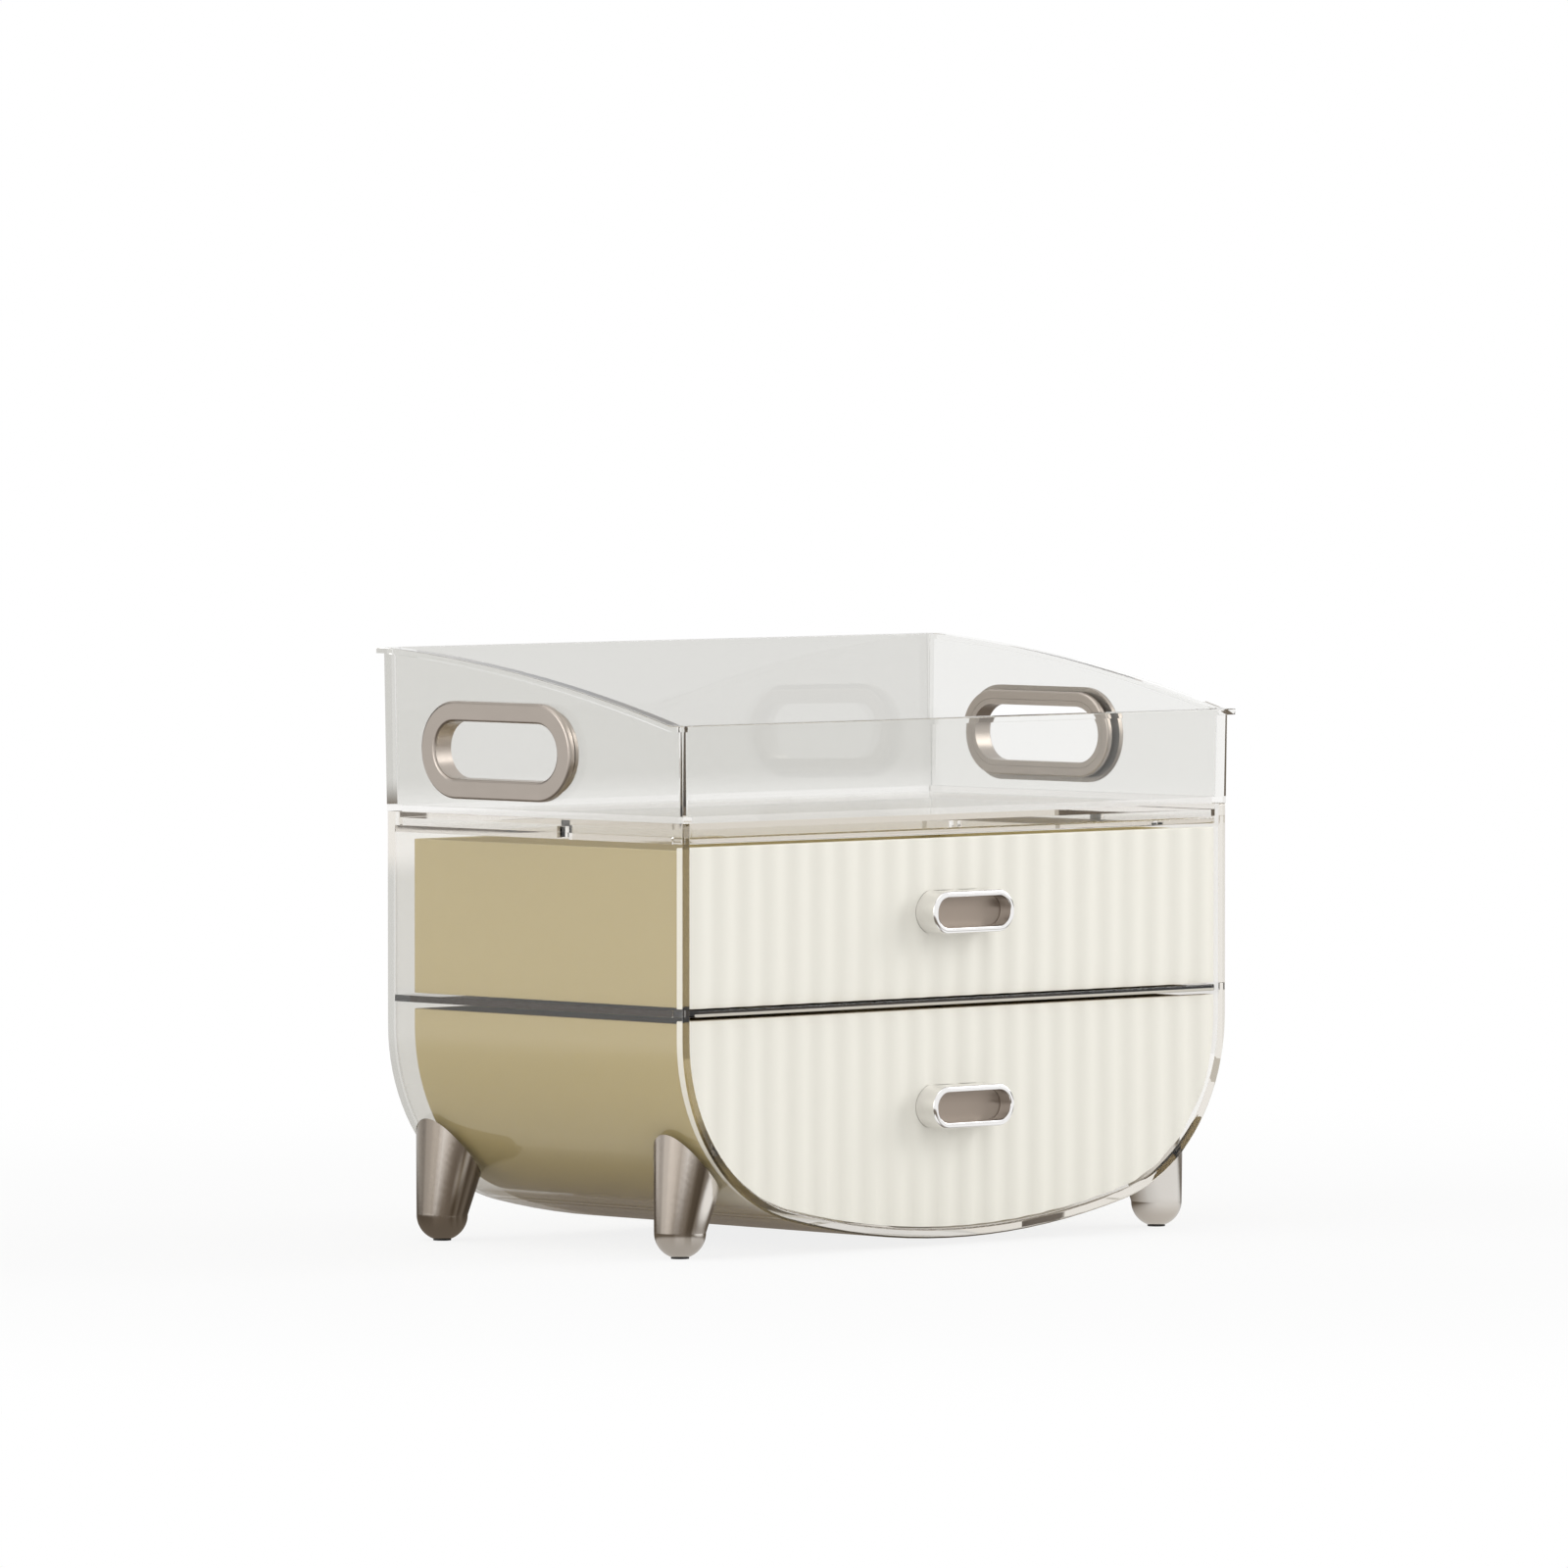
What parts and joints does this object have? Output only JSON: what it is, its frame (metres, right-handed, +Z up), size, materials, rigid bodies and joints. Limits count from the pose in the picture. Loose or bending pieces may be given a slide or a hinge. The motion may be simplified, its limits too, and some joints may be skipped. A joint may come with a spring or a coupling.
{
  "type": "makeup organizer",
  "caption": "Clear U-shaped vanity organizer on slanted feet, with fluted drawers and an open top tray with carrying rings.",
  "frame": {"origin": "on the table, under the middle of the whole organizer's width and depth", "axes": "+X to the organizer's right seen from the front, +Y to the back, +Z up; the drawers open towards -Y"},
  "size_m": [0.3094, 0.1866, 0.2383],
  "materials": {
    "clear_plastic": "clear polished moulding",
    "cream_plastic": "satin moulding with upright reeds",
    "tan_plastic": "smooth satin moulding",
    "satin_nickel": "satin nickel plating",
    "foot_nickel": "polished nickel plating",
    "pull_chrome": "bright plating",
    "screw_steel": "plain zinc plating",
    "pad_rubber": "matt anti-slip rubber"
  },
  "bodies": {
    "cabinet": {"outer_shell": "clear_plastic", "top_deck": "clear_plastic", "divider_shelf": "clear_plastic", "top_tray": "clear_plastic", "foot_pads": "pad_rubber", "foot_screws": "screw_steel", "handle_ring_left": "satin_nickel", "handle_bezel_left": "satin_nickel", "handle_ring_right": "satin_nickel", "handle_bezel_right": "satin_nickel", "foot_front_left": "foot_nickel", "foot_front_right": "foot_nickel", "foot_back_left": "foot_nickel", "foot_back_right": "foot_nickel"},
    "upper_drawer": {"upper_drawer_box": "tan_plastic", "upper_drawer_front": "cream_plastic", "upper_pull": "pull_chrome", "upper_pull_screws": "screw_steel"},
    "lower_drawer": {"lower_drawer_box": "tan_plastic", "lower_drawer_front": "cream_plastic", "lower_pull": "pull_chrome", "lower_pull_screws": "screw_steel"}
  },
  "joints": [
    {"name": "upper_drawer_slide", "type": "slide", "parent": "cabinet", "child": "upper_drawer", "axis": [0, -1, 0], "range_m": [0, 0.12]},
    {"name": "lower_drawer_slide", "type": "slide", "parent": "cabinet", "child": "lower_drawer", "axis": [0, -1, 0], "range_m": [0, 0.12]}
  ]
}
